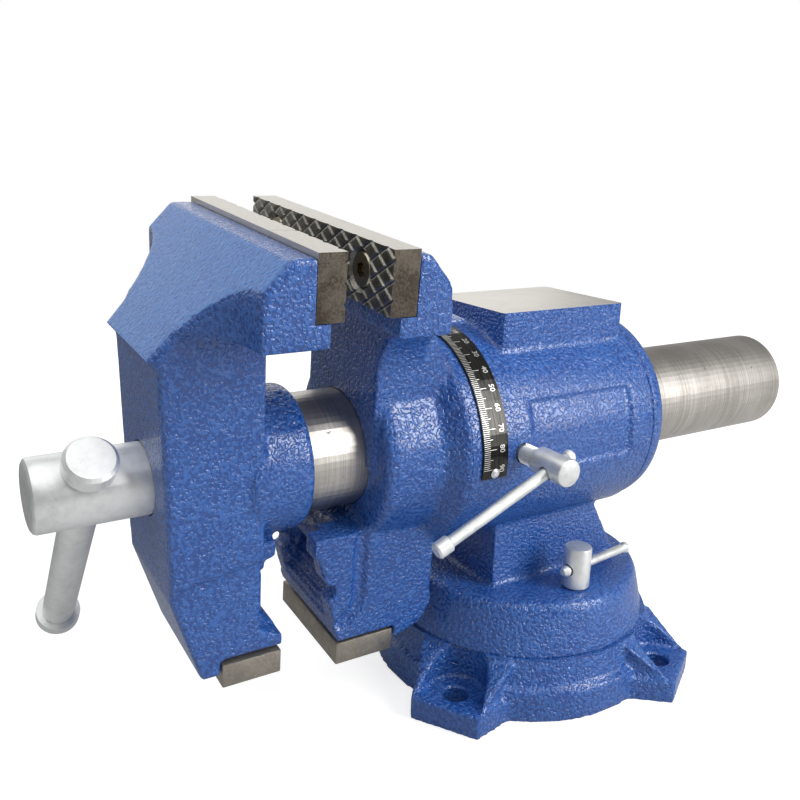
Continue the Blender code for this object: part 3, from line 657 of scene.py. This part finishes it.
clamp = bmesh.new()
lathe(clamp, [(0, -79.5), (4.9, -79.5), (5.8, -79.1), (6.1, -78.3), (6.1, -61.0), (5.6, -60.3),
              (3.7, -60.2), (3.7, -41.8), (0, -41.6)], "X", steps=48)
thread(clamp, [(3.5, -0.45), (4.45, -0.1), (4.45, 0.1), (3.5, 0.45)], start=-59.4,
       turns=7, pitch=1.25)
bmesh.ops.transform(clamp, matrix=Matrix(((0, 1, 0), (1, 0, 0), (0, 0, 1))).to_4x4(),
                    verts=clamp.verts)
bmesh.ops.translate(clamp, vec=(CLAMP_SPOT[0], 0, CLAMP_SPOT[1]), verts=clamp.verts)
clamp_piece = shape_object("barrel_lock_bolt", clamp, "barrel_lock")
cross = bmesh.new()
lean_bar = Matrix.Rotation(math.radians(CLAMP_BAR_LEAN), 4, "Y")
rod(cross, (-12, 0, 0), (12, 0, 0), 3.3, 40)
bmesh.ops.transform(cross, matrix=Matrix.Translation((CLAMP_SPOT[0], CLAMP_BAR_Y, CLAMP_SPOT[1]))
                    @ lean_bar, verts=cross.verts)
machined(clamp_piece, [cross])
dress(clamp_piece, ZINC)
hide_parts("barrel_lock_screw")

# Rear jaw ---------------------------------------------------------------------------
# Iron casting that turns in the barrel: wide jaw on a web, hub, chamfered flange, long
# sleeve, and the toothed pipe jaw hanging below. Seats, bore and sleeve are machined.

HEAD_TURN = 5.1
HEAD = Matrix.Translation((0, 0, AXIS * MM)) @ Matrix.Rotation(math.radians(HEAD_TURN), 4, "X")
JAW_HALF = 62.5
PLATE_TOP = 100.7
PLATE_BOTTOM = 76.4
PLATE_MIDDLE = (PLATE_TOP + PLATE_BOTTOM) / 2
PLATE_SCREW = 38.0
REAR_FACE = -124.0
PLATE_THICK = 11.0
REAR_SEAT = REAR_FACE + PLATE_THICK + 0.3


def toothed(start, end, teeth, depth):
    """Zigzag edge from start to end; the teeth stand on its left side."""
    start, end = Vector(start), Vector(end)
    run = (end - start) / teeth
    side = Vector((-run.y, run.x)).normalized() * depth
    points = [tuple(start)]
    for i in range(teeth):
        points.append(tuple(start + run * (i + 0.5) + side))
        points.append(tuple(start + run * (i + 1.0)))
    return points


def reshaped(piece):
    """Take a finished piece back as a shape in millimetres."""
    shape = bmesh.new()
    shape.from_mesh(piece.data)
    bmesh.ops.scale(shape, vec=(1 / MM, 1 / MM, 1 / MM), verts=shape.verts)
    bpy.data.objects.remove(piece)
    return shape


rear = bmesh.new()
prism(rear, [(REAR_SEAT - 2, PLATE_TOP - 2.0), (-108.2, 98.6), (-99.2, 88.7), (-97.3, 84.6),
             (-96.1, 67.8), (-119.6, 67.8), (-119.6, PLATE_BOTTOM + 2),
             (REAR_SEAT - 2, PLATE_BOTTOM + 2)], "XZ", -JAW_HALF - 0.2, JAW_HALF + 0.2)
prism(rear, [(-104, 91), (-99, 86), (-79, 55), (-75, 40), (-75, 0), (-108.3, 0), (-108.3, 74),
             (-104, 74)], "XZ", -30.6, 30.6)
arch = cove((61.0, 39.0), 31.0, 180, 96)
flank = arch + [(57.0, 72.0), (-57.0, 72.0)] + [(-y, z) for y, z in reversed(arch)]
prism(rear, flank, "YZ", -108.2, -87.0)
lathe(rear, [(0, -106.7), (38.5, -106.7), (41.4, -105.2), (42.4, -102.0), (42.8, -79.0),
             (50.5, -71.4), (50.5, -68.0), (0, -68.0)], "X", steps=112)
prism(rear, [(-105, -20), (-72.3, -20), (-70.8, -75), (-76, -83.2), (-89.6, -88.2),
             (-89.6, -81), (-119.4, -81), (-120.7, -75), (-129.2, -40), (-132.2, -36),
             (-132.2, -27.8), (-105, -27.8)], "XZ", -30.2, 30.2)
gap = [(-142, -23.5), (-125.8, -23.5), (-125.8, -31)]
gap += toothed((-125.8, -32), (-112.0, -51.5), 4, -3.0)
gap += toothed((-112.0, -53.5), (-121.5, -77), 5, -3.0)
gap += [(-121.5, -91), (-142, -91)]
rear_gap = bmesh.new()
prism(rear_gap, gap, "XZ", -20.4, 20.4)
notch = [(-142, -46.0)] + toothed((-130.5, -46.0), (-118.0, -53.5), 3, -2.4)
notch += toothed((-118.0, -55.0), (-126.5, -62.5), 2, -2.4) + [(-142, -62.5)]
rear_notch = bmesh.new()
prism(rear_notch, notch, "XZ", -45.0, 45.0)
rear_boss = bmesh.new()
rod(rear_boss, (-145, 0, 0), (-115.3, 0, 0), 32.0, 96)
RIB_SIDE = 31.2
RIB_RADIUS = 3.9
rib_edge = bmesh.new()
for side in (-1, 1):
    route = [Vector((x, side * RIB_SIDE, z)) for x, z in (
        (-109.8, -31), (-109.8, -61), (-110.6, -65.5), (-113.4, -69.5), (-118.0, -72.5))]
    for begin, end in zip(route, route[1:]):
        rod(rib_edge, begin, end, RIB_RADIUS, 20)
    for spot in route:
        bmesh.ops.create_uvsphere(rib_edge, u_segments=20, v_segments=12, radius=RIB_RADIUS,
                                  matrix=Matrix.Translation(spot))
rib_tool = reshaped(skin(shape_object("rib_groove", rib_edge, None), 0.8, 0))
rear_piece = cast("rear_jaw_casting", rear, [rear_gap, rear_notch, rear_boss, rib_tool], "head",
                  HEAD)

# The sleeve joins the casting after its edges are rounded, so that it stays true.
turned_sleeve = bmesh.new()
lathe(turned_sleeve, [(26.0, -74), (39.7, -74), (39.7, BARREL_REAR), (34.0, BARREL_REAR),
                      (34.0, 48.4), (26.0, 48.4)], "X", steps=112)
sleeve_tool = shape_object("sleeve_tool", turned_sleeve, None, HEAD)
join = rear_piece.modifiers.new("join", "BOOLEAN")
join.operation = "UNION"
join.solver = "MANIFOLD"
join.object = sleeve_tool
evaluated(rear_piece)
bpy.data.objects.remove(sleeve_tool)

seat = bmesh.new()
box(seat, (-140, -80, PLATE_BOTTOM - 0.3), (REAR_SEAT, 80, 120))
rear_bore = bmesh.new()
rod(rear_bore, (-160, 0, 0), (90, 0, 0), 26.6, 112)
flange_face = bmesh.new()
lathe(flange_face, [(39.7, -70.2), (60, -70.2), (60, -60), (39.7, -60)], "X", steps=96)
insert_seat = bmesh.new()
box(insert_seat, (-119.4, -40, -95), (-89.7, 40, -82.7))
taps = bmesh.new()
for side in (-1, 1):
    rod(taps, (-118, side * PLATE_SCREW, PLATE_MIDDLE),
        (-104.7, side * PLATE_SCREW, PLATE_MIDDLE), 4.3, 32)
rod(taps, (-104.5, 0, -95), (-104.5, 0, -67), 3.3, 24)
rod(taps, (-35, 0, -20), (-35, 0, -45), 6.3, 32)
rod(taps, (43.5, 20, 0), (43.5, 45, 0), 2.6, 24)
machined(rear_piece, [seat, rear_bore, flange_face, insert_seat, taps], HEAD)
dress(rear_piece, ENAMEL)
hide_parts("rear_jaw")

# Rear collar -------------------------------------------------------------------------
# Iron ring screwed on the sleeve's end, which keeps the head in the barrel. Its outer
# edge is rounded and enamelled; a fine seam shows where it meets the barrel.

ring = bmesh.new()
lathe(ring, [(34.4, 49.0), (42.0, 49.0), (44.6, 48.6), (46.6, 47.5), (48.1, 45.6), (48.8, 43.4),
             (49.1, 41.0), (49.0, 39.6), (47.8, 38.4), (34.4, 38.4)], "X", steps=128)
ring_piece = shape_object("collar_ring", ring, "head", HEAD)
grub = bmesh.new()
rod(grub, (43.5, 30, 0), (43.5, 55, 0), 2.6, 24)
machined(ring_piece, [grub], HEAD)
dress(ring_piece, ENAMEL)
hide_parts("rear_collar")

# Jaw plates ----------------------------------------------------------------------------
# Hardened steel bars, ground on top and ends, with crossed V-grooves milled in the
# gripping face. Two countersunk socket screws hold each one.

KNURL_PITCH = 11.4
KNURL_RISE = 7.2
KNURL_DEPTH = 0.9
KNURL_HALF = 0.13
KNURL_COLUMNS = 300
KNURL_ROWS = 60


def groove(value):
    """Depth share of a V-groove at each whole number."""
    away = abs(value - round(value))
    return max(0.0, 1.0 - away / KNURL_HALF)


def jaw_plate(name, face, inward, body):
    """Plate with its gripping face at x = face, knurled, and countersunk for two screws."""
    shape = bmesh.new()
    bmesh.ops.create_grid(shape, x_segments=KNURL_COLUMNS, y_segments=KNURL_ROWS, size=0.5)
    for vert in shape.verts:
        y = vert.co.x * JAW_HALF * 2
        z = PLATE_MIDDLE + vert.co.y * (PLATE_TOP - PLATE_BOTTOM)
        rising = groove(y / KNURL_PITCH + z / KNURL_RISE)
        falling = groove(y / KNURL_PITCH - z / KNURL_RISE)
        depth = max(rising, falling) * KNURL_DEPTH + 0.05
        vert.co = Vector((face + inward * depth, y, z))
    rim = [edge for edge in shape.edges if edge.is_boundary]
    grown = bmesh.ops.extrude_edge_only(shape, edges=rim)["geom"]
    for item in grown:
        if isinstance(item, bmesh.types.BMVert):
            item.co.x = face + inward * PLATE_THICK
    back = [item for item in grown if isinstance(item, bmesh.types.BMEdge)
            and item.is_boundary]
    bmesh.ops.contextual_create(shape, geom=back)
    piece = shape_object(name, shape, body, HEAD)
    sinks = bmesh.new()
    for side in (-1, 1):
        lathe(sinks, [(0, face - inward), (8.6, face - inward), (8.6, face + inward * 0.3),
                      (4.4, face + inward * 4.7), (4.4, face + inward * 14),
                      (0, face + inward * 14)], "X", (0, side * PLATE_SCREW, PLATE_MIDDLE), 48)
    machined(piece, [sinks], HEAD, angle=24.0)
    return piece


def plate_dress(piece, inward):
    """Give a jaw plate its ground top, brown ends and dark knurled face."""
    finish = Finish(piece.name + "_steel", Metallic=1.0)
    lines = finish.where.mapped((1800.0, 18.0, 1800.0)).noise(1.0, 3.0, 0.6)
    blot = finish.where.noise(55.0, 4.0, 0.65)
    colour = lines.ease(0.3, 0.7).mix((0.52, 0.49, 0.44, 1.0), (0.64, 0.61, 0.56, 1.0))
    colour = (blot.ease(0.6, 0.72) * 0.4).mix(colour, (0.30, 0.26, 0.21, 1.0))
    finish.plug(Base_Color=colour, Roughness=lines * 0.14 + 0.30, Normal=lines.bump(0.00004))
    ends = Finish(piece.name + "_ends", Metallic=1.0)
    grime = ends.where.noise(90.0, 4.0, 0.7)
    grain = ends.where.noise(1100.0, 2.0, 0.6)
    tone = (grime * 0.6 + grain * 0.4).ease(0.38, 0.62)
    colour = tone.mix((0.060, 0.051, 0.041, 1.0), (0.140, 0.122, 0.100, 1.0))
    ends.plug(Base_Color=colour, Roughness=grain * 0.25 + 0.30, Normal=grain.bump(0.00008))
    grip = Finish(piece.name + "_grip", Metallic=1.0)
    oil = grip.where.noise(160.0, 4.0, 0.7)
    tooth = grip.where.noise(1500.0, 2.0, 0.6)
    colour = (oil * 0.6 + tooth * 0.4).ease(0.38, 0.62).mix((0.15, 0.145, 0.13, 1.0),
                                                           (0.33, 0.32, 0.285, 1.0))
    colour = (grip.edge.ease(0.50, 0.56) * 0.5).mix(colour, (0.42, 0.40, 0.36, 1.0))
    grip.plug(Base_Color=colour, Roughness=tooth * 0.2 + 0.26, Normal=tooth.bump(0.0001))
    dress(piece, finish)
    piece.data.materials.append(ends.material)
    piece.data.materials.append(grip.material)
    spread = HEAD.to_3x3().transposed()
    for polygon in piece.data.polygons:
        normal = spread @ polygon.normal
        if normal.x * inward < -0.3:
            polygon.material_index = 2
        elif abs(normal.y) > 0.7 or normal.z < -0.7:
            polygon.material_index = 1


rear_plate = jaw_plate("rear_plate", REAR_FACE, 1.0, "head")
plate_dress(rear_plate, 1.0)
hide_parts("rear_jaw_plate")
OILED = steel("oiled_screw", (0.44, 0.40, 0.30, 1.0), (0.24, 0.21, 0.15, 1.0), rough=0.22)


def plate_screws(name, face, inward, body):
    """Two flat-headed screws with hexagon sockets, a little below the plate's face."""
    shape = bmesh.new()
    hexes = bmesh.new()
    for side in (-1, 1):
        spot = (0, side * PLATE_SCREW, PLATE_MIDDLE)
        lathe(shape, [(0, face + inward * 1.0), (6.4, face + inward * 1.0),
                      (6.9, face + inward * 1.5), (4.0, face + inward * 4.7),
                      (4.0, face + inward * 18.6), (0, face + inward * 18.6)], "X", spot, 40)
        rod(hexes, (face - inward, spot[1], spot[2]), (face + inward * 4.0, spot[1], spot[2]),
            3.0, 6)
    piece = shape_object(name, shape, body, HEAD)
    machined(piece, [hexes], HEAD)
    return dress(piece, OILED)


rear_screws = plate_screws("rear_plate_screws", REAR_FACE, 1.0, "head")
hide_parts("rear_plate_screw_1", "rear_plate_screw_2")

# Pipe-jaw inserts ----------------------------------------------------------------------
# Short bars of raw, heat-darkened steel let in under both pipe jaws, each held by one
# socket screw from below. Their edges are broken by tumbling.

RAW = Finish("raw_steel", Metallic=0.9)
scale_cloud = RAW.where.noise(110.0, 5.0, 0.7)
scale_grain = RAW.where.noise(700.0, 3.0, 0.65)
raw_tone = (scale_cloud * 0.55 + scale_grain * 0.45).ease(0.36, 0.64)
raw_colour = raw_tone.mix((0.060, 0.052, 0.042, 1.0), (0.29, 0.255, 0.205, 1.0))
raw_colour = (RAW.edge.ease(0.52, 0.57) * 0.5).mix(raw_colour, (0.50, 0.46, 0.40, 1.0))
RAW.plug(Base_Color=raw_colour, Roughness=scale_grain * 0.3 + 0.34,
         Normal=(scale_cloud + scale_grain).bump(0.00025))


INSERT_THICK = 11.3


def insert_bar(name, low_x, high_x, half, top, body, node):
    """Raw steel bar with broken edges and a stepped screw hole."""
    shape = bmesh.new()
    box(shape, (low_x, -half, top - INSERT_THICK), (high_x, half, top))
    bmesh.ops.bevel(shape, geom=shape.edges[:], offset=0.7, segments=2, profile=0.5,
                    affect="EDGES", material=-1)
    piece = shape_object(name, shape, body, HEAD)
    hole = bmesh.new()
    lathe(hole, [(0, 8), (3.3, 8), (3.3, -6.1), (5.8, -6.1), (5.8, -17), (0, -17)], "Z",
          ((low_x + high_x) / 2, 0, top), 40)
    machined(piece, [hole], HEAD)
    dress(piece, RAW)
    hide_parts(node)


insert_bar("rear_insert", -119.0, -90.0, half=29.0, top=-83.0, body="head",
           node="rear_pipe_insert")

# Sliding jaw ---------------------------------------------------------------------------
# Iron casting: a jaw flared from a wide gripping edge down to the column, a round boss
# that takes the slide bar, and a toothed tongue that works against the rear pipe jaw.

FRONT_FACE = -142.0
FRONT_SEAT = FRONT_FACE - PLATE_THICK - 0.3

front = bmesh.new()
prism(front, [(-191.5, 66.9), (-162.4, 98.5), (FRONT_SEAT + 2, 98.5),
              (FRONT_SEAT + 2, PLATE_BOTTOM + 2), (-146.4, PLATE_BOTTOM + 2), (-146.4, 67.0),
              (-188, 67.0)], "XZ", -JAW_HALF - 0.2, JAW_HALF + 0.2)
flares = bmesh.new()
for side in (-1, 1):
    flare = rod(flares, (0, 0, 40), (0, 0, 115), 1.0, 128)
    bmesh.ops.scale(flares, vec=(28.0, 34.0, 1.0), verts=flare)
    bmesh.ops.translate(flares, vec=(-200.2, side * (JAW_HALF + 0.3), 0), verts=flare)
column = bmesh.new()
prism(column, [(-200.2, 56.9), (-190.9, 67.2), (-164, 96), (-156, 96), (-154.8, -66),
               (-144.8, -71), (-144.8, -76), (-172.3, -76), (-172.3, -83.2), (-180.6, -83.2),
               (-193.2, -43.6), (-196.4, 53.4)], "XZ", -27.8, 27.8)
prism(column, [(-197.5, 57), (-190.9, 66.9), (-164, 94), (-156, 94), (-154.8, -31),
               (-192.8, -37), (-195.3, 50)], "XZ", -29.5, 29.5)
lathe(column, [(0, -133.4), (29.0, -133.4), (30.8, -134.3), (31.6, -136.2), (31.6, -160),
               (0, -160)], "X", steps=112)
tongue = [(-160, -29), (-145.3, -29), (-145.3, -36)]
tongue += toothed((-146.3, -37), (-157.2, -51.5), 3, -3.0)
tongue += toothed((-157.2, -53.5), (-146.3, -68), 3, -3.0)
tongue += [(-144.8, -71.5), (-160, -71.5)]
prism(column, tongue, "XZ", -20.2, 20.2)
solids = reshaped(cut_away(shape_object("front_upper", front, None), [flares]))
column_mesh = bpy.data.meshes.new("column")
column.to_mesh(column_mesh)
solids.from_mesh(column_mesh)
front_piece = cast("front_jaw_casting", solids, [], "sliding_jaw", HEAD)

front_seat = bmesh.new()
box(front_seat, (FRONT_SEAT, -80, PLATE_BOTTOM - 0.3), (-120, 80, 120))
socket = bmesh.new()
lathe(socket, [(0, -120), (26.6, -120), (26.6, -176), (11.4, -176), (11.4, -189.0),
               (15.4, -189.0), (15.4, -210), (0, -210)], "X", steps=112)
front_insert_seat = bmesh.new()
box(front_insert_seat, (-172.3, -40, -95), (-140, 40, -77.7))
front_taps = bmesh.new()
for side in (-1, 1):
    rod(front_taps, (-161.3, side * PLATE_SCREW, PLATE_MIDDLE),
        (-148, side * PLATE_SCREW, PLATE_MIDDLE), 4.3, 32)
rod(front_taps, (-145, 20, 0), (-145, 40, 0), 3.3, 24)
rod(front_taps, (-158.75, 0, -90), (-158.75, 0, -62), 3.3, 24)
machined(front_piece, [front_seat, socket, front_insert_seat, front_taps], HEAD)
dress(front_piece, ENAMEL)
front_piece.data.materials.append(ENAMEL_SLOPE_BRUSHED_PAINTED_LIGHT.material)
# The ground slope above the column wears the thinner, brushed coat, paler partly from its
# grinding lines and partly as painted light on this upward face.
slope_normal = HEAD.to_3x3() @ Vector((-31.2, 0, 28.5)).normalized()
for face in front_piece.data.polygons:
    if face.normal.dot(slope_normal) > 0.985:
        face.material_index = 1
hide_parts("front_jaw")

front_plate = jaw_plate("front_plate", FRONT_FACE, -1.0, "sliding_jaw")
plate_dress(front_plate, -1.0)
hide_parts("front_jaw_plate")
front_screws = plate_screws("front_plate_screws", FRONT_FACE, -1.0, "sliding_jaw")
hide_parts("front_plate_screw_1", "front_plate_screw_2")
insert_bar("front_insert", -172.0, -145.5, half=28.2, top=-78.0, body="sliding_jaw",
           node="front_pipe_insert")

# Slide bar -----------------------------------------------------------------------------
# Thick steel tube, turned and rubbed bright, pinned in the sliding jaw. The tool lines run
# round it; a slot underneath clears the stud of the lead-screw nut.

TURNED = Finish("turned_steel", Metallic=1.0)
rings = TURNED.where.mapped((1400.0, 14.0, 14.0)).noise(1.0, 3.0, 0.65)
haze = TURNED.where.noise(38.0, 3.0, 0.6)
nicks = TURNED.where.noise(340.0, 3.0, 0.6).ease(0.70, 0.74)
turned_colour = (rings * 0.55 + haze * 0.45).ease(0.34, 0.66).mix((0.40, 0.375, 0.34, 1.0),
                                                                 (0.62, 0.59, 0.55, 1.0))
turned_colour = (nicks * 0.7).mix(turned_colour, (0.08, 0.07, 0.06, 1.0))
TURNED.plug(Base_Color=turned_colour, Roughness=rings * 0.2 + 0.26,
            Normal=(rings * 0.8 + nicks * -1.0).bump(0.00007))
dress_nodes(TURNED, "slide_bar")

# Lead screw ------------------------------------------------------------------------------
# Trapezoidal-thread screw with a plain journal in the sliding jaw and a thick round head,
# cross-bored for the handle. The head is zinc plated and slightly mottled.

HANDLE_X = -217.0
HANDLE_LEAN = Matrix.Rotation(math.radians(-53.1), 4, "X")

screw = bmesh.new()
lathe(screw, [(0, 88.0), (8.0, 88.0), (9.0, 87.0), (9.0, -158), (11.0, -160), (11.0, -189.4),
              (14.2, -189.4), (14.8, -190.0), (14.8, -236.4), (14.3, -237.6), (13.2, -238.3),
              (12.4, -238.5), (0, -238.5)], "X", steps=80)
thread(screw, [(8.6, -1.7), (11.0, -0.9), (11.0, 0.9), (8.6, 1.7)], start=-154.0, turns=47.5,
       pitch=5.0)
screw_piece = shape_object("lead_screw_turned", screw, "spindle", HEAD)
handle_bore = bmesh.new()
rod(handle_bore, (0, -30, 0), (0, 30, 0), 7.7, 64)
bmesh.ops.transform(handle_bore, matrix=Matrix.Translation((HANDLE_X, 0, 0)) @ HANDLE_LEAN,
                    verts=handle_bore.verts)
pin_bore = bmesh.new()
rod(pin_bore, (-171.5, 0, -20), (-171.5, 0, 20), 2.1, 24)
machined(screw_piece, [handle_bore, pin_bore], HEAD)
dress(screw_piece, ZINC)
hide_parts("lead_screw")
